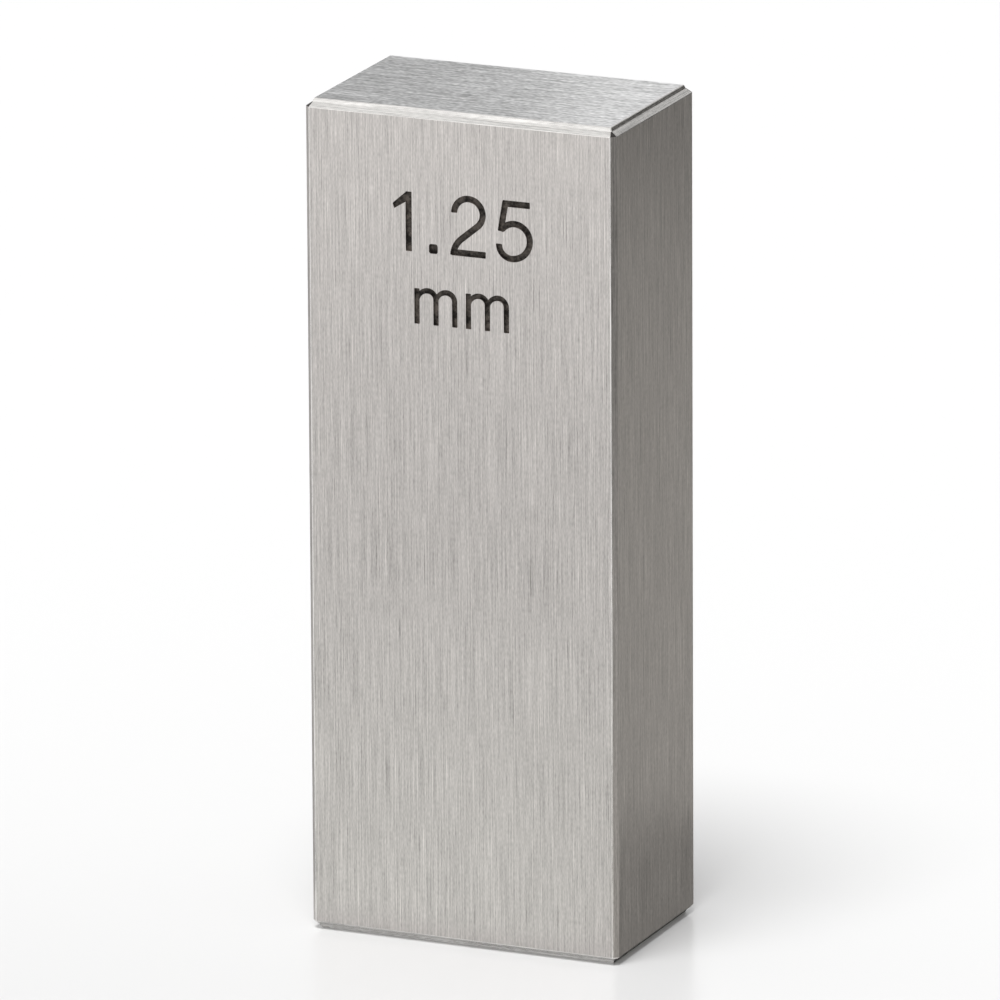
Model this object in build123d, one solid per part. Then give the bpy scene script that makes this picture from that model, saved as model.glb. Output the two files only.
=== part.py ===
from build123d import *

import os
from itertools import product
from math import atan, degrees

# Gauge block: a hardened steel length standard, ground and lapped square on all six sides.
# It is one prism. Each end is a low land with steep sides, a flat bevel runs from the foot of
# the land to the sides of the block, the long edges are chamfered, and a small flat takes the
# point off each corner, so that no burr keeps the block from lying flat or wringing.
# Frame, in millimetres: the block stands on one end, with the origin at the middle of that end,
# +Z up the long side, and the face that carries the size mark looking towards -Y.

# Driving dimensions
LENGTH = 30.0  # long side, from end to end
WIDTH = 11.65  # across the marked face
THICKNESS = 7.05  # from the marked face to the plain one
LAND_RISE = 0.135  # how far the land on each end stands up
LAND_LEAN = 0.055  # how far the land's sides draw in over that height
BEVEL_INSET = 0.215  # from the side of the block to the foot of the land
BEVEL_DROP = 0.135  # how far the bevel falls over that width
SIDE_CHAMFER = 0.17  # taken off both sides of the four long edges

# Levels above and below the middle of the block
LAND_FOOT = LENGTH / 2 - LAND_RISE
BEVEL_FOOT = LAND_FOOT - BEVEL_DROP


def ground_body():
    """The block between its two lands, with bevelled ends and chamfered long edges."""
    block = Box(WIDTH, THICKNESS, 2 * LAND_FOOT)
    for lowest_or_highest in (0, -1):
        end_face = block.faces().sort_by(Axis.Z)[lowest_or_highest]
        block = chamfer(end_face.edges(), BEVEL_INSET, BEVEL_DROP, reference=end_face)
    long_edges = block.edges().filter_by(Axis.Z)
    return chamfer(long_edges, SIDE_CHAMFER)


def corner_flat(side, face, end):
    """The plane of one corner's flat, from the corner of the land to the end of the long chamfer."""
    land_corner = Vector(
        side * (WIDTH / 2 - BEVEL_INSET),
        face * (THICKNESS / 2 - BEVEL_INSET),
        end * LAND_FOOT,
    )
    on_face = Vector(side * (WIDTH / 2 - SIDE_CHAMFER), face * THICKNESS / 2, end * BEVEL_FOOT)
    on_side = Vector(side * WIDTH / 2, face * (THICKNESS / 2 - SIDE_CHAMFER), end * BEVEL_FOOT)
    inward = (on_face - land_corner).cross(on_side - land_corner) * (side * face * end)
    return Plane(origin=land_corner, z_dir=-inward)


def flatten_corners(block):
    """Takes the point off each of the eight corners."""
    for side, face, end in product((-1, 1), repeat=3):
        block = split(block, bisect_by=corner_flat(side, face, end), keep=Keep.BOTTOM)
    return block


def end_land():
    """The land on the upper end, a low pad that draws in towards its lapped top."""
    foot = Rectangle(WIDTH - 2 * BEVEL_INSET, THICKNESS - 2 * BEVEL_INSET)
    lean_angle = degrees(atan(LAND_LEAN / LAND_RISE))
    return extrude(Plane.XY.offset(LAND_FOOT) * foot, LAND_RISE, taper=lean_angle)


upper_land = end_land()
lower_land = mirror(upper_land, Plane.XY)
gauge_block = flatten_corners(ground_body()) + upper_land + lower_land
gauge_block = Pos(0, 0, LENGTH / 2) * gauge_block
gauge_block.label = "gauge_block"

os.makedirs("parts", exist_ok=True)
export_step(gauge_block, "parts/gauge_block.step")
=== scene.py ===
"""A ground steel gauge block, standing on end on a white table.

The block is one piece of hardened steel, ground on all six sides, with a size mark etched into one face.
It is modelled in millimetres and scaled to metres at the end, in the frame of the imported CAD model:
the origin is the middle of the lower end, +Z runs up the long side and the marked face looks towards -Y.
"""

import math

import bmesh
import bpy
from mathutils import Matrix, Vector


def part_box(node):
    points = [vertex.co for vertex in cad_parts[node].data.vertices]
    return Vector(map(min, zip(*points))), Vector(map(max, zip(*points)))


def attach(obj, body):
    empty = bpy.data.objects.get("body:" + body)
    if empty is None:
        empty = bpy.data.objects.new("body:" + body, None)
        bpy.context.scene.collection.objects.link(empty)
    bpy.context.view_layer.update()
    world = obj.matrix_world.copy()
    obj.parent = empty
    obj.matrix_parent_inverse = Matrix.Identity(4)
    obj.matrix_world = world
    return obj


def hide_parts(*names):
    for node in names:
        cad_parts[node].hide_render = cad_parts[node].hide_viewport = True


bl_info = {
    "name": "Gauge Block",
    "version": (1, 0, 0),
    "blender": (4, 5, 0),
    "location": "View3D > Sidebar > Gauge Block",
    "description": "Builds a ground steel gauge block with an etched size mark, and the stage it stands on",
    "category": "Object",
}

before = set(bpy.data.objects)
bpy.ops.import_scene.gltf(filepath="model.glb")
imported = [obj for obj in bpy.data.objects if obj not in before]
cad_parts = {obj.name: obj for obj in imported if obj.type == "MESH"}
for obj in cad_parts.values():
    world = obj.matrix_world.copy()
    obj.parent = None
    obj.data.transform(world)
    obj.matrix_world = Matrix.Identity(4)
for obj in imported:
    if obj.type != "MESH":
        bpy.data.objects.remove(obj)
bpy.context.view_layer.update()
LOWEST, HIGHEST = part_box("gauge_block")

MM = 0.001
GRAIN_MAP = "grain"

# Points closer than this, in millimetres, count as one
TOLERANCE = 0.001

# Shares of a face's normal along Z: above the first the face lies level, below the second it is upright
LEVEL, UPRIGHT = 0.95, 0.1

# Material slots of the block, in order
GROUND, ENDS, EDGES, CORNERS, MARK = range(5)


def linear(hex_colour):
    """The linear RGB values of an sRGB hex colour."""
    channels = [int(hex_colour[place:place + 2], 16) / 255 for place in (1, 3, 5)]
    return [
        channel / 12.92 if channel <= 0.04045 else ((channel + 0.055) / 1.055) ** 2.4
        for channel in channels]


# Properties

class BlockSizes(bpy.types.PropertyGroup):
    """Sizes of the block and its mark."""

    width: bpy.props.FloatProperty(
        name="Width", description="Across the marked face",
        default=HIGHEST[0] - LOWEST[0], unit="LENGTH", precision=5)
    thickness: bpy.props.FloatProperty(
        name="Thickness", description="From the marked face to the plain one",
        default=HIGHEST[1] - LOWEST[1], unit="LENGTH", precision=5)
    length: bpy.props.FloatProperty(
        name="Length", description="From end to end",
        default=HIGHEST[2] - LOWEST[2], unit="LENGTH", precision=5)
    land_rise: bpy.props.FloatProperty(
        name="Land rise", description="How far the land on each end stands up",
        default=0.135 * MM, unit="LENGTH", precision=6)
    land_lean: bpy.props.FloatProperty(
        name="Land lean", description="How far the land's sides draw in over that height",
        default=0.055 * MM, unit="LENGTH", precision=6)
    bevel_inset: bpy.props.FloatProperty(
        name="Bevel inset", description="From the side of the block to the foot of the land",
        default=0.215 * MM, unit="LENGTH", precision=6)
    bevel_drop: bpy.props.FloatProperty(
        name="Bevel drop", description="How far the bevel falls over that width",
        default=0.135 * MM, unit="LENGTH", precision=6)
    side_chamfer: bpy.props.FloatProperty(
        name="Side chamfer", description="Taken off both sides of the four long edges",
        default=0.17 * MM, unit="LENGTH", precision=6)
    edge_round: bpy.props.FloatProperty(
        name="Edge rounding", description="How far the stoned edges are rounded over",
        default=0.03 * MM, unit="LENGTH", precision=6)
    number_foot: bpy.props.FloatProperty(
        name="Number foot", description="Height of the foot of the number above the lower end",
        default=24.95 * MM, unit="LENGTH", precision=5)
    unit_foot: bpy.props.FloatProperty(
        name="Unit foot", description="Height of the foot of the unit above the lower end",
        default=22.39 * MM, unit="LENGTH", precision=5)
    number_stroke: bpy.props.FloatProperty(
        name="Number stroke", description="Width of the strokes of the number",
        default=0.232 * MM, unit="LENGTH", precision=6)
    unit_stroke: bpy.props.FloatProperty(
        name="Unit stroke", description="Width of the strokes of the unit",
        default=0.2 * MM, unit="LENGTH", precision=6)
    mark_depth: bpy.props.FloatProperty(
        name="Mark depth", description="How deep the mark is etched",
        default=0.11 * MM, unit="LENGTH", precision=6)


class BlockColours(bpy.types.PropertyGroup):
    """Colours of the block's finishes."""

    ground_steel: bpy.props.FloatVectorProperty(
        name="Ground steel", description="Ground faces of the block",
        default=linear("#B6B2AF"), subtype="COLOR", min=0.0, max=1.0)
    ground_end: bpy.props.FloatVectorProperty(
        name="Ground ends", description="Coarser ground faces of the two ends",
        default=linear("#D6D6D6"), subtype="COLOR", min=0.0, max=1.0)
    stoned_edge: bpy.props.FloatVectorProperty(
        name="Stoned edge", description="Sides of the lands, bevels and rounded edges",
        default=linear("#DAD8D5"), subtype="COLOR", min=0.0, max=1.0)
    # Painted shade: the upper corner flats are coloured nearly black to stand in for the dark that they
    # mirror
    corner_shade: bpy.props.FloatVectorProperty(
        name="Painted corner shade", description="Painted shade on the upper corner flats",
        default=linear("#353230"), subtype="COLOR", min=0.0, max=1.0)
    etched_mark: bpy.props.FloatVectorProperty(
        name="Etched mark", description="Oxide in the etched size mark",
        default=linear("#4E4843"), subtype="COLOR", min=0.0, max=1.0)


class StageLook(bpy.types.PropertyGroup):
    """Table, room, lamp and camera."""

    table_colour: bpy.props.FloatVectorProperty(
        name="Table", description="Colour of the white table",
        default=linear("#F4F4F4"), subtype="COLOR", min=0.0, max=1.0)
    room_light: bpy.props.FloatProperty(
        name="Room light", description="Strength of the even light from the room",
        default=0.45, min=0.0)
    key_light: bpy.props.FloatProperty(
        name="Key light", description="Strength of the large soft lamp overhead",
        default=2.14, min=0.0)
    key_azimuth: bpy.props.FloatProperty(
        name="Key azimuth", description="How far the lamp stands to the right of the marked face",
        default=math.radians(-4), subtype="ANGLE")
    key_elevation: bpy.props.FloatProperty(
        name="Key elevation", description="How far the lamp shines down",
        default=math.radians(73), subtype="ANGLE")
    key_softness: bpy.props.FloatProperty(
        name="Key softness", description="How wide the lamp looks from the block",
        default=math.radians(26), subtype="ANGLE")
    camera_azimuth: bpy.props.FloatProperty(
        name="Camera azimuth", description="How far the camera stands to the right of the marked face",
        default=math.radians(23.471), subtype="ANGLE")
    camera_elevation: bpy.props.FloatProperty(
        name="Camera elevation", description="How far the camera looks down",
        default=math.radians(15.866), subtype="ANGLE")
    camera_roll: bpy.props.FloatProperty(
        name="Camera roll", description="How far the camera leans to its side",
        default=math.radians(-0.315), subtype="ANGLE")
    camera_distance: bpy.props.FloatProperty(
        name="Camera distance", description="From the camera to the middle of the block",
        default=486.2 * MM, unit="LENGTH")


# Block

def end_faces(blank):
    """The two flat faces that close the ends."""
    return [face for face in blank.faces if abs(face.normal.z) > LEVEL]


def raise_end(blank, end_face, half_width, half_thickness, rise):
    """Extrudes an end face by that rise, and gathers its outline at the four corners of a rectangle."""
    outward = math.copysign(rise, end_face.normal.z)
    raised = bmesh.ops.extrude_discrete_faces(blank, faces=[end_face])["faces"][0]
    for corner in raised.verts:
        corner.co.x = math.copysign(half_width, corner.co.x)
        corner.co.y = math.copysign(half_thickness, corner.co.y)
        corner.co.z += outward
    bmesh.ops.remove_doubles(blank, verts=raised.verts, dist=TOLERANCE)


def ground_blank(sizes):
    """The block before it is marked: chamfered long edges, bevelled ends with a land, and flat corners."""
    width, thickness, length = sizes.width / MM, sizes.thickness / MM, sizes.length / MM
    straight_run = length - 2 * (sizes.land_rise + sizes.bevel_drop) / MM
    blank = bmesh.new()
    bmesh.ops.create_cube(blank, size=1.0)
    bmesh.ops.scale(blank, vec=(width, thickness, straight_run), verts=blank.verts)
    bmesh.ops.translate(blank, vec=(0, 0, length / 2), verts=blank.verts)
    long_edges = [edge for edge in blank.edges if edge.calc_length() > straight_run - TOLERANCE]
    bmesh.ops.bevel(
        blank, geom=long_edges, offset=sizes.side_chamfer / MM, offset_type="OFFSET",
        affect="EDGES", segments=1, profile=0.5, material=-1)

    # The bevel of each end first, which leaves a three-sided flat at each corner, then its land
    levels = (
        (sizes.bevel_inset / MM, sizes.bevel_drop / MM),
        ((sizes.bevel_inset + sizes.land_lean) / MM, sizes.land_rise / MM),
    )
    for inset, rise in levels:
        blank.normal_update()
        for end_face in end_faces(blank):
            raise_end(blank, end_face, width / 2 - inset, thickness / 2 - inset, rise)
    blank.normal_update()
    return blank


def sort_finishes(blank):
    """Gives the sides with their chamfers, the ends, the edges and the upper corner flats their slots."""
    for face in blank.faces:
        if abs(face.normal.z) > LEVEL:
            face.material_index = ENDS
        elif abs(face.normal.z) < UPRIGHT:
            face.material_index = GROUND
        # The upper corner flats take the painted shade
        elif len(face.verts) == 3 and face.normal.z > 0:
            face.material_index = CORNERS
        else:
            face.material_index = EDGES


def round_edges(blank, sizes):
    """Rounds the edges a little, except at the corner flats.

    The stone leaves them bright round the ends and the broad faces.
    """
    outer_edges = [
        edge for edge in blank.edges
        if edge.is_convex and all(face.material_index != CORNERS for face in edge.link_faces)]
    rounded = bmesh.ops.bevel(
        blank, geom=outer_edges, offset=sizes.edge_round / MM, offset_type="OFFSET",
        affect="EDGES", segments=2, profile=0.5, material=-1, clamp_overlap=True)
    blank.normal_update()
    towards_broad_face, towards_end = 0.7, 0.15
    for face in rounded["faces"]:
        if abs(face.normal.y) > towards_broad_face or abs(face.normal.z) > towards_end:
            face.material_index = EDGES


def spread_corner_shade(blank, sizes):
    """Lets the painted shade on the upper corner flats run a little way over their edges."""
    reach, neighbourhood = 0.012, 0.3
    land_foot = (sizes.length - sizes.land_rise) / MM + TOLERANCE
    flats = [face for face in blank.faces if face.material_index == CORNERS]
    for middle, facing in [(flat.calc_center_median(), flat.normal.copy()) for flat in flats]:
        brink = middle - facing * reach
        around = [
            face for face in blank.faces
            if all(corner.co.z < land_foot for corner in face.verts)
            and any((corner.co - middle).length < neighbourhood for corner in face.verts)]
        # Each edge and corner of these faces once, in a fixed order
        edges = dict.fromkeys(edge for face in around for edge in face.edges)
        corners = dict.fromkeys(corner for face in around for corner in face.verts)
        bmesh.ops.bisect_plane(
            blank, geom=[*around, *edges, *corners], dist=TOLERANCE / 2, plane_co=brink, plane_no=facing)
        for face in blank.faces:
            spot = face.calc_center_median()
            below_land = all(corner.co.z < land_foot for corner in face.verts)
            if below_land and (spot - middle).length < neighbourhood and (spot - brink).dot(facing) > 0:
                face.material_index = CORNERS


# Mark

class EtchingNib:
    """A square nib that is drawn through the marked face, straight ahead or round a bend.

    It sweeps out the solid that is taken from the face. Places are in millimetres: x from the middle of
    the face and z from the foot of the line. Headings are in degrees, with 0 to the right and 90 up.
    """

    BEND_STEP = 6  # degrees in each step of a bend, at most
    SQUARE_TURN = math.radians(60)  # a corner that turns further than this counts as square
    CORNER_STEPS = 3  # steps in a rounded corner

    def __init__(self, cutter, face_y, foot, stroke, depth):
        self.cutter = cutter
        self.face_y = face_y
        self.foot = foot
        self.stroke = stroke
        self.depth = depth
        self.nib = None
        self.under_way = False

    def touch(self, x, z, heading, stroke=None):
        """Sets the nib down across its heading."""
        turn = math.radians(heading)
        ahead = Vector((math.cos(turn), 0, math.sin(turn)))
        across = Vector((-math.sin(turn), 0, math.cos(turn))) * (stroke or self.stroke) / 2
        surface = Vector((x, self.face_y - self.depth, self.foot + z))
        bottom = Vector((x, self.face_y + self.depth, self.foot + z))
        outline = (surface - across, surface + across, bottom + across, bottom - across)
        self.nib = self.cutter.faces.new([self.cutter.verts.new(corner) for corner in outline])
        self.nib.normal_update()
        if self.nib.normal.dot(ahead) < 0:
            self.nib.normal_flip()
        self.under_way = False

    def draw_on(self):
        """Starts the next piece of the stroke from the nib, and leaves no wall inside the stroke."""
        drawn = bmesh.ops.extrude_face_region(self.cutter, geom=[self.nib])["geom"]
        if self.under_way:
            bmesh.ops.delete(self.cutter, geom=[self.nib], context="FACES_ONLY")
        self.under_way = True
        self.nib = next(part for part in drawn if isinstance(part, bmesh.types.BMFace))

    def widen(self, swell):
        """Makes the nib that many times as wide, about its own middle."""
        middle = self.nib.calc_center_median()
        bmesh.ops.scale(
            self.cutter, vec=(swell, 1, swell), space=Matrix.Translation(-middle), verts=self.nib.verts)
        self.nib.normal_update()

    def ahead(self, distance, drift=0.0, swell=1.0):
        """Draws the nib straight ahead. It can drift to its left, and the stroke can swell on the way."""
        forwards = self.nib.normal.copy()
        way = forwards * distance + Vector((-forwards.z, 0, forwards.x)) * drift
        self.draw_on()
        bmesh.ops.translate(self.cutter, vec=way, verts=self.nib.verts)
        self.widen(swell)

    def bend(self, radius, turn, swell=1.0):
        """Swings the nib round a bend, to the left where the turn is positive. The stroke can swell too."""
        way = self.nib.normal
        to_centre = Vector((-way.z, 0, way.x)) * math.copysign(radius, turn)
        centre = self.nib.calc_center_median() + to_centre
        steps = math.ceil(abs(turn) / self.BEND_STEP)
        small_turn = Matrix.Rotation(math.radians(turn / steps), 3, (0, -1, 0))
        for step in range(steps):
            self.draw_on()
            bmesh.ops.rotate(self.cutter, cent=centre, matrix=small_turn, verts=self.nib.verts)
            self.widen(swell ** (1 / steps))

    def round_corners(self, radius):
        """Rounds the upright corners that are still square on what has been drawn so far."""
        bmesh.ops.recalc_face_normals(self.cutter, faces=self.cutter.faces)
        square_corners = [
            edge for edge in self.cutter.edges
            if abs(edge.verts[0].co.y - edge.verts[1].co.y) > self.depth
            and edge.calc_face_angle(0) > self.SQUARE_TURN]
        bmesh.ops.bevel(
            self.cutter, geom=square_corners, offset=radius, offset_type="OFFSET",
            affect="EDGES", segments=self.CORNER_STEPS, profile=0.5, material=-1)


def etch_number(nib):
    """The number 1.25."""
    # The point
    nib.touch(-0.98, -0.005, 90, stroke=0.33)
    nib.ahead(0.345)
    nib.round_corners(0.08)

    # The one: its stem, and its flag, which swells towards the stem
    nib.touch(-1.9, 0, 90)
    nib.ahead(2.125)
    nib.touch(-2.475, 1.574, 16.4, stroke=0.195)
    nib.ahead(0.636, drift=0.233, swell=1.62)

    # The two: hook, neck and foot in one run, then its base
    nib.touch(-0.1875, 1.54, 90)
    nib.bend(0.535, -230.5)
    nib.ahead(0.8)
    nib.bend(0.845, 46.5)
    nib.touch(-0.3, 0.1325, 0)
    nib.ahead(1.29)

    # The five: its bar, its slanted stem and its bowl
    nib.touch(2.65, 2.055, 180)
    nib.ahead(1.023)
    nib.touch(1.737, 2.13, 260.4)
    nib.ahead(1.095)
    nib.touch(1.4875, 0.605, 268)
    nib.bend(0.482, 92)
    nib.bend(0.672, 90)
    nib.bend(0.577, 144.6)
    nib.round_corners(0.03)


def etch_unit(nib):
    """The unit mm."""
    stem_top, arch_top = 1.27, 1.212
    shoulder = 0.31
    for stems in ((-1.61, -0.895, -0.19), (0.325, 1.0375, 1.75)):
        nib.touch(stems[0], 0, 90)
        nib.ahead(stem_top)
        # Each arch has a round shoulder, and runs down thinner and flatter into the stem before
        for stem in stems[1:]:
            nib.touch(stem, 0, 90)
            nib.ahead(arch_top - shoulder)
            nib.bend(shoulder, 90)
            nib.bend(0.385, 86, swell=0.75)
            nib.ahead(0.06)
    nib.round_corners(0.03)


def mark_cutter(sizes):
    """The solid that the mark takes out of the face."""
    cutter = bmesh.new()
    face_y = -sizes.thickness / MM / 2
    depth = sizes.mark_depth / MM
    etch_number(EtchingNib(cutter, face_y, sizes.number_foot / MM, sizes.number_stroke / MM, depth))
    etch_unit(EtchingNib(cutter, face_y, sizes.unit_foot / MM, sizes.unit_stroke / MM, depth))
    bmesh.ops.recalc_face_normals(cutter, faces=cutter.faces)
    for face in cutter.faces:
        face.material_index = MARK
    return cutter


def set_face_order(shape):
    """Puts the faces in a fixed order. Some operators leave one that changes from run to run."""
    in_order = sorted(shape.faces, key=lambda face: tuple(face.calc_center_median()))
    for rank, face in enumerate(in_order):
        face.index = rank
    shape.faces.sort()


def mesh_object(name, shape):
    """An object that holds that bmesh, which is freed."""
    set_face_order(shape)
    mesh = bpy.data.meshes.new(name)
    shape.to_mesh(mesh)
    shape.free()
    holder = bpy.data.objects.new(name, mesh)
    bpy.context.scene.collection.objects.link(holder)
    return holder


def cut_mark(block, sizes):
    """Takes the mark out of the block's face, and leaves its walls and floor in the mark's material slot."""
    cutter = mesh_object("mark_cutter", mark_cutter(sizes))
    cut = block.modifiers.new("mark", "BOOLEAN")
    cut.operation = "DIFFERENCE"
    cut.solver = "EXACT"
    cut.use_self = True
    cut.material_mode = "INDEX"
    cut.object = cutter
    settled = block.evaluated_get(bpy.context.evaluated_depsgraph_get())
    marked = bpy.data.meshes.new_from_object(settled)
    block.modifiers.clear()
    plain = block.data
    block.data = marked
    bpy.data.meshes.remove(plain)
    marked.name = block.name
    # The cutter goes with its mesh
    bpy.data.meshes.remove(cutter.data)


def grain_direction(facing):
    """The way the grinding lines run: along X on the ends, up the sides, and with the edge on its facets."""
    if abs(facing.z) > LEVEL:
        return Vector((1, 0, 0))
    if abs(facing.z) < UPRIGHT:
        return Vector((0, 0, 1))
    return Vector((-facing.y, facing.x, 0)).normalized()


def lay_grain(block):
    """Maps every face in millimetres, with U across the grinding lines and V along them.

    The narrow sides are ground coarser, and each side reads its own stretch of the pattern.
    """
    towards_narrow_side, coarser = 0.8, 0.6
    stretch_length = 40
    shape = bmesh.new()
    shape.from_mesh(block.data)
    shape.normal_update()
    grain = shape.loops.layers.uv.new(GRAIN_MAP)
    for face in shape.faces:
        along = grain_direction(face.normal)
        across = along.cross(face.normal)
        fineness = coarser if abs(face.normal.x) > towards_narrow_side else 1.0
        side = round(face.normal.x) + 2 * round(face.normal.y) + 4 * round(face.normal.z)
        start = side * stretch_length
        for corner in face.loops:
            place = corner.vert.co
            corner[grain].uv = (place.dot(across) * fineness + start, place.dot(along))
    shape.to_mesh(block.data)
    shape.free()


# Materials

def add_node(tree, kind, settings=None, inputs=None):
    """Adds a node of that kind, sets its own options, and gives its sockets values or links."""
    node = tree.nodes.new(kind)
    for option, value in (settings or {}).items():
        setattr(node, option, value)
    for socket, value in (inputs or {}).items():
        if isinstance(value, bpy.types.NodeSocket):
            tree.links.new(value, node.inputs[socket])
        else:
            node.inputs[socket].default_value = value
    return node


def new_material(name):
    """An empty node material of that name, and its node tree."""
    material = bpy.data.materials.new(name)
    material.use_nodes = True
    material.node_tree.nodes.clear()
    return material, material.node_tree


def ground_lines(tree, place, runs):
    """Lines along the grain, from 0 to 1: several runs of lines, each with a width, a length and a share.

    The widths and lengths are in millimetres, and the shares add up to 1.
    """
    lines = 0.0
    for width, length, share in runs:
        stretched = add_node(tree, "ShaderNodeMapping", inputs={
            "Vector": place, "Scale": (1 / width, 1 / length, 1)})
        run = add_node(tree, "ShaderNodeTexNoise", {"noise_dimensions": "2D"}, {
            "Vector": stretched.outputs["Vector"], "Scale": 1.0, "Detail": 0.0})
        lines = add_node(tree, "ShaderNodeMath", {"operation": "MULTIPLY_ADD"}, {
            0: run.outputs["Fac"], 1: share, 2: lines}).outputs["Value"]
    return lines


def ground_steel(colours):
    """Hardened tool steel, surface ground.

    The wheel leaves fine parallel lines, so the grey is even from a step away, close up it is a sheet of
    short streaks with a few longer scratches, and reflections spread out across the lines.
    """
    material, tree = new_material("hardened steel, fine ground")
    grain = add_node(tree, "ShaderNodeUVMap", {"uv_map": GRAIN_MAP})

    # Real grinding lines are a few microns wide. These are about a pixel wide, so that they show.
    lines = ground_lines(
        tree, grain.outputs["UV"], ((0.03, 0.15, 0.3), (0.035, 0.65, 0.3), (0.05, 4.0, 0.4)))
    bands = ground_lines(tree, grain.outputs["UV"], ((0.5, 7.0, 0.5), (1.6, 12.0, 0.5)))
    band_strength, scratch_strength = 0.1, 32.0
    banded = add_node(tree, "ShaderNodeMath", {"operation": "MULTIPLY_ADD"}, {
        0: bands, 1: band_strength, 2: lines})

    # The fifth power leaves only the strongest lines of this run, light and dark
    scratches = ground_lines(tree, grain.outputs["UV"], ((0.035, 2.5, 1.0),))
    contrast = add_node(tree, "ShaderNodeMath", {"operation": "SUBTRACT"}, {0: scratches, 1: 0.5})
    strongest = add_node(tree, "ShaderNodeMath", {"operation": "POWER"}, {
        0: contrast.outputs["Value"], 1: 5.0})
    pattern = add_node(tree, "ShaderNodeMath", {"operation": "MULTIPLY_ADD"}, {
        0: strongest.outputs["Value"], 1: scratch_strength, 2: banded.outputs["Value"]})
    tone = add_node(tree, "ShaderNodeMapRange", inputs={
        "Value": pattern.outputs["Value"],
        "From Min": 0.05, "From Max": 1.05, "To Min": 0.47, "To Max": 1.53})
    steel = add_node(tree, "ShaderNodeHueSaturation", inputs={
        "Color": (*colours.ground_steel, 1), "Value": tone.outputs["Result"]})
    gloss = add_node(tree, "ShaderNodeMapRange", inputs={
        "Value": pattern.outputs["Value"], "From Min": 0.3, "From Max": 0.9, "To Min": 0.34, "To Max": 0.46})
    ridges = add_node(tree, "ShaderNodeBump", inputs={
        "Height": lines, "Strength": 1.0, "Distance": 0.004 * MM})
    across = add_node(tree, "ShaderNodeTangent", {"direction_type": "UV_MAP", "uv_map": GRAIN_MAP})
    shader = add_node(tree, "ShaderNodeBsdfPrincipled", inputs={
        "Base Color": steel.outputs["Color"], "Metallic": 1.0, "Roughness": gloss.outputs["Result"],
        "Anisotropic": 0.5, "Tangent": across.outputs["Tangent"], "Normal": ridges.outputs["Normal"]})
    add_node(tree, "ShaderNodeOutputMaterial", inputs={"Surface": shader.outputs["BSDF"]})
    return material


def ground_end(colours):
    """The same steel, ground across the ends with a coarser wheel.

    The lines are wider and deeper than on the sides, waver a little, and part light from dark more strongly.
    """
    material, tree = new_material("hardened steel, coarse ground")
    grain = add_node(tree, "ShaderNodeUVMap", {"uv_map": GRAIN_MAP})
    waver_length, waver_reach = 0.9, 0.03
    waver = add_node(tree, "ShaderNodeTexNoise", {"noise_dimensions": "2D"}, {
        "Vector": grain.outputs["UV"], "Scale": 1 / waver_length, "Detail": 1.0})
    shift = add_node(tree, "ShaderNodeMapRange", inputs={
        "Value": waver.outputs["Fac"], "To Min": -waver_reach, "To Max": waver_reach})
    sideways = add_node(tree, "ShaderNodeCombineXYZ", inputs={"X": shift.outputs["Result"]})
    wavering = add_node(tree, "ShaderNodeVectorMath", {"operation": "ADD"}, {
        0: grain.outputs["UV"], 1: sideways.outputs["Vector"]})

    # A coarse wheel's lines are a few hundredths of a millimetre wide. These are wider, so that they show.
    lines = ground_lines(
        tree, wavering.outputs["Vector"], ((0.06, 0.17, 0.35), (0.08, 0.5, 0.35), (0.12, 3.0, 0.3)))
    tone = add_node(tree, "ShaderNodeMapRange", inputs={
        "Value": lines, "From Min": 0.1, "From Max": 0.9, "To Min": 0.2, "To Max": 1.8})
    steel = add_node(tree, "ShaderNodeHueSaturation", inputs={
        "Color": (*colours.ground_end, 1), "Value": tone.outputs["Result"]})
    gloss = add_node(tree, "ShaderNodeMapRange", inputs={
        "Value": lines, "From Min": 0.2, "From Max": 0.8, "To Min": 0.34, "To Max": 0.44})
    ridges = add_node(tree, "ShaderNodeBump", inputs={
        "Height": lines, "Strength": 1.0, "Distance": 0.014 * MM})
    across = add_node(tree, "ShaderNodeTangent", {"direction_type": "UV_MAP", "uv_map": GRAIN_MAP})
    shader = add_node(tree, "ShaderNodeBsdfPrincipled", inputs={
        "Base Color": steel.outputs["Color"], "Metallic": 1.0, "Roughness": gloss.outputs["Result"],
        "Anisotropic": 0.5, "Tangent": across.outputs["Tangent"], "Normal": ridges.outputs["Normal"]})
    add_node(tree, "ShaderNodeOutputMaterial", inputs={"Surface": shader.outputs["BSDF"]})
    return material


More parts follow.
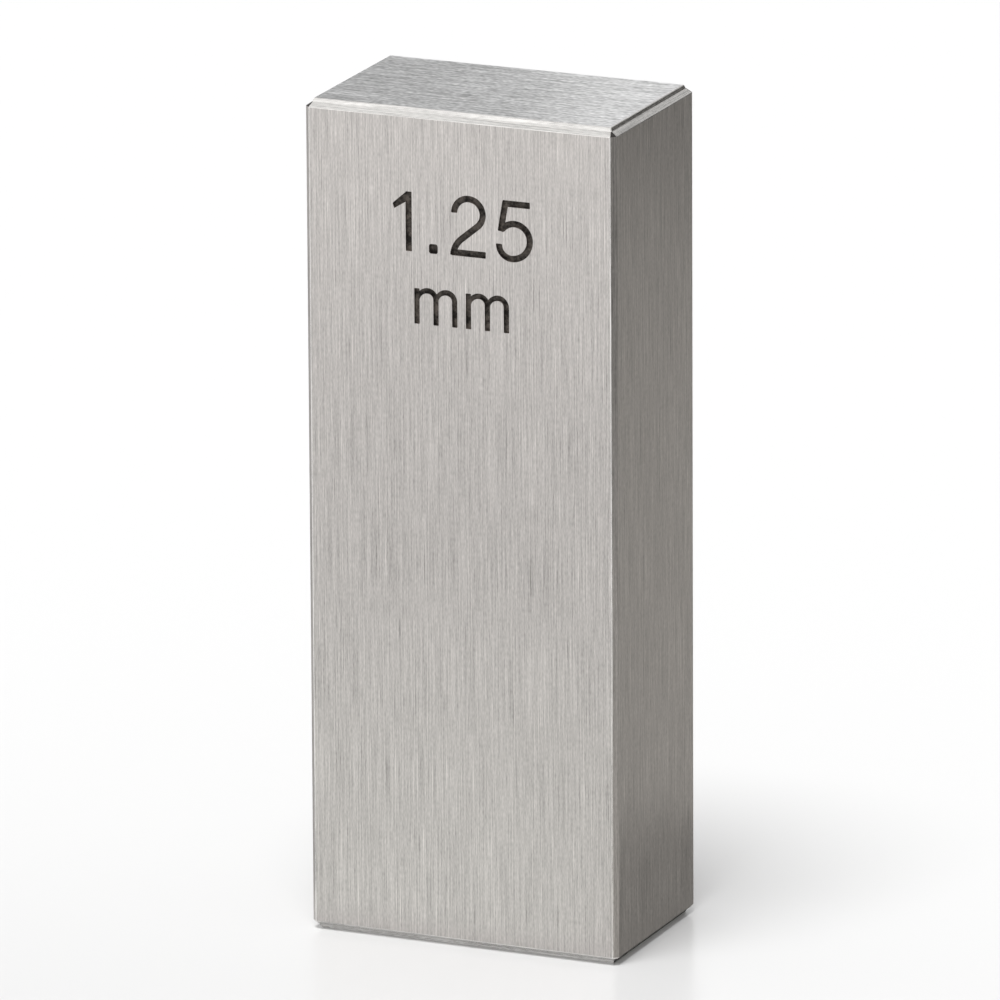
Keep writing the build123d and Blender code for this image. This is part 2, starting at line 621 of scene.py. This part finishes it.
def stoned_edge(colours):
    """The same steel, stoned by hand along the edges.

    The stone leaves coarser lines that run with the edge, and a slightly brighter surface than the wheel.
    """
    material, tree = new_material("hardened steel, stoned edges")
    grain = add_node(tree, "ShaderNodeUVMap", {"uv_map": GRAIN_MAP})

    # A hand stone's lines are about a hundredth of a millimetre wide. These are wider, so that they show.
    streaks = ground_lines(
        tree, grain.outputs["UV"], ((0.05, 0.3, 0.25), (0.05, 1.5, 0.25), (0.028, 5.0, 0.5)))
    tone = add_node(tree, "ShaderNodeMapRange", inputs={
        "Value": streaks, "From Min": 0.3, "From Max": 0.7, "To Min": 0.75, "To Max": 1.25})
    steel = add_node(tree, "ShaderNodeHueSaturation", inputs={
        "Color": (*colours.stoned_edge, 1), "Value": tone.outputs["Result"]})
    gloss = add_node(tree, "ShaderNodeMapRange", inputs={
        "Value": streaks, "From Min": 0.25, "From Max": 0.75, "To Min": 0.22, "To Max": 0.34})
    lines = add_node(tree, "ShaderNodeBump", inputs={
        "Height": streaks, "Strength": 1.0, "Distance": 0.008 * MM})
    across = add_node(tree, "ShaderNodeTangent", {"direction_type": "UV_MAP", "uv_map": GRAIN_MAP})
    shader = add_node(tree, "ShaderNodeBsdfPrincipled", inputs={
        "Base Color": steel.outputs["Color"], "Metallic": 1.0, "Roughness": gloss.outputs["Result"],
        "Anisotropic": 0.5, "Tangent": across.outputs["Tangent"], "Normal": lines.outputs["Normal"]})
    add_node(tree, "ShaderNodeOutputMaterial", inputs={"Surface": shader.outputs["BSDF"]})
    return material


def corner_shade(colours):
    """Painted shade on the upper corner flats, standing in for the dark that they mirror.

    It is a dull, nearly black steel with a fine mottle.
    """
    material, tree = new_material("hardened steel, painted corner shade")
    place = add_node(tree, "ShaderNodeTexCoord")
    mottle_size = 0.06 * MM
    mottle = add_node(tree, "ShaderNodeTexNoise", inputs={
        "Vector": place.outputs["Object"], "Scale": 1 / mottle_size, "Detail": 2.0})
    tone = add_node(tree, "ShaderNodeMapRange", inputs={
        "Value": mottle.outputs["Fac"], "From Min": 0.3, "From Max": 0.7, "To Min": 0.75, "To Max": 1.25})
    oxide = add_node(tree, "ShaderNodeHueSaturation", inputs={
        "Color": (*colours.corner_shade, 1), "Value": tone.outputs["Result"]})
    shader = add_node(tree, "ShaderNodeBsdfPrincipled", inputs={
        "Base Color": oxide.outputs["Color"], "Metallic": 0.5, "Roughness": 0.5})
    add_node(tree, "ShaderNodeOutputMaterial", inputs={"Surface": shader.outputs["BSDF"]})
    return material


def etched_mark(colours):
    """Steel darkened by electrolytic etching.

    The etch leaves a matt brown-black oxide, uneven where it took better or worse, with a fine grain.
    """
    material, tree = new_material("etched steel, dark oxide")
    place = add_node(tree, "ShaderNodeTexCoord")
    patch_size = 0.3 * MM
    patches = add_node(tree, "ShaderNodeTexNoise", inputs={
        "Vector": place.outputs["Object"], "Scale": 1 / patch_size, "Detail": 3.0, "Roughness": 0.7})
    tone = add_node(tree, "ShaderNodeMapRange", inputs={
        "Value": patches.outputs["Fac"], "From Min": 0.38, "From Max": 0.62, "To Min": 0.25, "To Max": 1.85})
    oxide = add_node(tree, "ShaderNodeHueSaturation", inputs={
        "Color": (*colours.etched_mark, 1), "Value": tone.outputs["Result"]})

    # Real pits are a few microns wide. These are about a pixel wide, so that they show.
    pit_size = 0.03 * MM
    pits = add_node(tree, "ShaderNodeTexNoise", inputs={
        "Vector": place.outputs["Object"], "Scale": 1 / pit_size, "Detail": 1.0})
    grain = add_node(tree, "ShaderNodeBump", inputs={
        "Height": pits.outputs["Fac"], "Strength": 1.0, "Distance": 0.004 * MM})
    shader = add_node(tree, "ShaderNodeBsdfPrincipled", inputs={
        "Base Color": oxide.outputs["Color"], "Roughness": 0.7, "Specular IOR Level": 0.15,
        "Normal": grain.outputs["Normal"]})
    add_node(tree, "ShaderNodeOutputMaterial", inputs={"Surface": shader.outputs["BSDF"]})
    return material


def white_table(look):
    """White laminate with a silk finish: nearly matt, with a faint reflection near the foot of the block."""
    material, tree = new_material("white laminate, silk")
    shader = add_node(tree, "ShaderNodeBsdfPrincipled", inputs={
        "Base Color": (*look.table_colour, 1), "Roughness": 0.25, "Specular IOR Level": 0.5})
    add_node(tree, "ShaderNodeOutputMaterial", inputs={"Surface": shader.outputs["BSDF"]})
    return material


# Stage

def set_room(look):
    """An even white room: white where the camera or the steel sees it, and a softer light on all else."""
    room = bpy.data.worlds.new("white room")
    room.use_nodes = True
    tree = room.node_tree
    tree.nodes.clear()
    ray = add_node(tree, "ShaderNodeLightPath")
    seen = add_node(tree, "ShaderNodeMath", {"operation": "MAXIMUM"}, {
        0: ray.outputs["Is Camera Ray"], 1: ray.outputs["Is Glossy Ray"]})
    seen_too = add_node(tree, "ShaderNodeMath", {"operation": "MAXIMUM"}, {
        0: seen.outputs["Value"], 1: ray.outputs["Is Transmission Ray"]})
    strength = add_node(tree, "ShaderNodeMapRange", inputs={
        "Value": seen_too.outputs["Value"], "To Min": look.room_light, "To Max": 1.0})
    white = add_node(tree, "ShaderNodeBackground", inputs={
        "Color": (1, 1, 1, 1), "Strength": strength.outputs["Result"]})
    add_node(tree, "ShaderNodeOutputWorld", inputs={"Surface": white.outputs["Background"]})
    # An even room needs no map of where its light comes from
    room.cycles.sampling_method = "NONE"
    bpy.context.scene.world = room


def direction_to(azimuth, elevation):
    """The way out from the block at that azimuth, from the marked face to the right, and that elevation."""
    return Vector((
        math.sin(azimuth) * math.cos(elevation),
        -math.cos(azimuth) * math.cos(elevation),
        math.sin(elevation)))


def hang_lamp(look):
    """One large soft lamp high in front, a little to the left, which the steel doesn't mirror."""
    key = bpy.data.objects.new("key_lamp", bpy.data.lights.new("key_lamp", "SUN"))
    key.data.energy = look.key_light
    key.data.angle = look.key_softness
    key.visible_glossy = False
    towards_lamp = direction_to(look.key_azimuth, look.key_elevation)
    key.rotation_euler = towards_lamp.to_track_quat("Z", "Y").to_euler()
    bpy.context.scene.collection.objects.link(key)


def card_glow(brightness, glow_colour):
    """A card that glows with an even light, and shows on its front side only."""
    material, tree = new_material("glowing card")
    side = add_node(tree, "ShaderNodeNewGeometry")
    # The card glows: it is no lamp, but the steel mirrors it as a field of light
    glow = add_node(tree, "ShaderNodeEmission", inputs={
        "Color": (*linear(glow_colour), 1), "Strength": brightness})
    clear = add_node(tree, "ShaderNodeBsdfTransparent")
    one_sided = add_node(tree, "ShaderNodeMixShader", inputs={
        0: side.outputs["Backfacing"], 1: glow.outputs["Emission"], 2: clear.outputs["BSDF"]})
    add_node(tree, "ShaderNodeOutputMaterial", inputs={"Surface": one_sided.outputs["Shader"]})
    return material


def add_card(name, place, facing, width, height, brightness, glow_colour="#FFFFFF"):
    """A card that only reflections see, with its place and size in millimetres and its height up or back."""
    sheet = bmesh.new()
    bmesh.ops.create_grid(sheet, x_segments=1, y_segments=1, size=0.5)
    bmesh.ops.scale(sheet, vec=(width * MM, height * MM, 1), verts=sheet.verts)
    turn = Vector(facing).to_track_quat("Z", "Y").to_matrix()
    bmesh.ops.rotate(sheet, cent=(0, 0, 0), matrix=turn, verts=sheet.verts)
    bmesh.ops.translate(sheet, vec=Vector(place) * MM, verts=sheet.verts)
    card = mesh_object(name, sheet)
    card.data.materials.append(card_glow(brightness, glow_colour))
    card.visible_camera = False
    card.visible_diffuse = False
    card.visible_transmission = False
    card.visible_shadow = False


def set_cards():
    """White and tinted cards round the block, which the steel mirrors as soft dark and light fields."""
    cream, pale_green = "#FFFDF8", "#FDFFFD"
    up, left, front = (0, 0, 1), (-1, 0, 0), (0, -1, 0)
    from_far_right, from_front_left = (-0.47, -0.88, 0), (0.4, 0.92, 0)
    add_card("right_table_card", (51, 72, 0.05), up, 90, 150, 0.55, cream)
    # Painted shade: a grey card beside the right side's foot, which the steel mirrors in place of the
    # shadowed floor there
    add_card("right_foot_card", (10, 5, 0.1), up, 8, 17, 0.32, cream)
    # Painted shade: a nearly black card along the foot of the right side, which the land and lower edge
    # mirror as the contact shadow
    add_card("right_gap_card", (5.87, 0.2, 0.02), up, 0.8, 6.9, 0.03)
    add_card("right_front_card", (29, -16, 0.05), up, 46, 28, 0.58, cream)
    add_card("right_card", (45, -12, 21.5), left, 70, 37, 0.18, cream)
    add_card("far_right_card", (56, 105, 49), from_far_right, 130, 42, 0.12, cream)
    add_card("far_right_low_card", (56, 105, 14), from_far_right, 130, 28, 0.04, cream)
    add_card("far_card", (30, 100, 95), front, 66, 66, 0.56)
    add_card("left_table_card", (-65, 70, 0.05), up, 110, 160, 0.48)
    add_card("left_near_card", (-42, 12, 0.06), up, 64, 44, 0.62)
    add_card("left_front_card", (-60, -28, 0.05), up, 90, 36, 1.1)
    add_card("far_left_card", (-50, 50, 50), front, 60, 40, 0.36)
    add_card("far_low_card", (-32.5, 50, 26), front, 100, 8, 0.3)
    add_card("front_left_card", (-57, -128, 80), from_front_left, 160, 150, 1.3)
    add_card("front_table_card", (-47, -122, 0.05), up, 140, 82, 1.62)
    add_card("front_middle_card", (-25, -62.5, 0.05), up, 60, 31, 0.78)
    add_card("front_foot_card", (-16, -20, 0.05), up, 40, 30, 1.17, pale_green)
    # Painted light: a card in the gap under the front, which the lower bevel and land mirror in place of the
    # shaded floor there
    add_card("front_gap_card", (0, -3.5, 0.01), up, 11.2, 0.5, 0.5)


def lay_table(look):
    """The table that the block stands on."""
    top = bmesh.new()
    bmesh.ops.create_circle(top, cap_ends=True, radius=2.0, segments=64)
    table = mesh_object("table", top)
    table.data.materials.append(white_table(look))


def place_camera(look, sizes):
    """A long lens in front of the block, to its right and a little above."""
    # In pixels of a square image: its side, the focal length and how far the block is from the middle
    image_side, focal_length, off_middle = 1000, 13955, Vector((1.61, -8.614))
    camera = bpy.data.objects.new("camera", bpy.data.cameras.new("camera"))
    camera.data.sensor_width = 36
    camera.data.lens = focal_length / image_side * camera.data.sensor_width
    camera.data.shift_x, camera.data.shift_y = -off_middle / image_side
    back = direction_to(look.camera_azimuth, look.camera_elevation)
    camera.location = back * look.camera_distance + Vector((0, 0, sizes.length / 2))
    level = back.to_track_quat("Z", "Y").to_matrix()
    camera.rotation_euler = (level @ Matrix.Rotation(look.camera_roll, 3, "Z")).to_euler()
    bpy.context.scene.collection.objects.link(camera)
    bpy.context.scene.camera = camera


# Operators

class GAUGE_OT_add_block(bpy.types.Operator):
    """Add the ground steel block with its etched size mark"""

    bl_idname = "gauge.add_block"
    bl_label = "Add Gauge Block"
    bl_options = {"REGISTER", "UNDO"}

    def execute(self, context):
        sizes = context.scene.gauge_block_sizes
        colours = context.scene.gauge_block_colours
        blank = ground_blank(sizes)
        sort_finishes(blank)
        round_edges(blank, sizes)
        # Painted shade on the upper corner flats, spread a little over their edges
        spread_corner_shade(blank, sizes)
        block = mesh_object("block", blank)
        # The fourth finish is the painted shade of the upper corner flats
        for finish in (ground_steel, ground_end, stoned_edge, corner_shade, etched_mark):
            block.data.materials.append(finish(colours))
        cut_mark(block, sizes)
        lay_grain(block)
        block.data.transform(Matrix.Scale(MM, 4))
        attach(block, "root")
        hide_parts("gauge_block")
        return {"FINISHED"}


class GAUGE_OT_set_stage(bpy.types.Operator):
    """Add the white room, the lamp, the cards, the table and the camera"""

    bl_idname = "gauge.set_stage"
    bl_label = "Set Stage"
    bl_options = {"REGISTER", "UNDO"}

    def execute(self, context):
        look = context.scene.gauge_block_stage
        sizes = context.scene.gauge_block_sizes
        set_room(look)
        hang_lamp(look)
        set_cards()
        lay_table(look)
        place_camera(look, sizes)
        context.scene.view_settings.view_transform = "Standard"
        return {"FINISHED"}


class GAUGE_PT_tools(bpy.types.Panel):
    """Lists the sizes and colours of the gauge block, and builds it"""

    bl_idname = "GAUGE_PT_tools"
    bl_label = "Gauge Block"
    bl_space_type = "VIEW_3D"
    bl_region_type = "UI"
    bl_category = "Gauge Block"

    def draw(self, context):
        for group in ("gauge_block_sizes", "gauge_block_colours", "gauge_block_stage"):
            column = self.layout.column()
            values = getattr(context.scene, group)
            for name in values.__annotations__:
                column.prop(values, name)
        self.layout.operator("gauge.add_block")
        self.layout.operator("gauge.set_stage")


CLASSES = (BlockSizes, BlockColours, StageLook, GAUGE_OT_add_block, GAUGE_OT_set_stage, GAUGE_PT_tools)


def register():
    """Registers the classes and hangs the properties on the scene."""
    for part in CLASSES:
        bpy.utils.register_class(part)
    bpy.types.Scene.gauge_block_sizes = bpy.props.PointerProperty(type=BlockSizes)
    bpy.types.Scene.gauge_block_colours = bpy.props.PointerProperty(type=BlockColours)
    bpy.types.Scene.gauge_block_stage = bpy.props.PointerProperty(type=StageLook)


def unregister():
    """Takes the properties and classes away again."""
    del bpy.types.Scene.gauge_block_stage
    del bpy.types.Scene.gauge_block_colours
    del bpy.types.Scene.gauge_block_sizes
    for part in reversed(CLASSES):
        bpy.utils.unregister_class(part)


def main():
    """Builds the block and its stage."""
    register()
    bpy.ops.gauge.add_block()
    bpy.ops.gauge.set_stage()


if __name__ == "__main__":
    main()
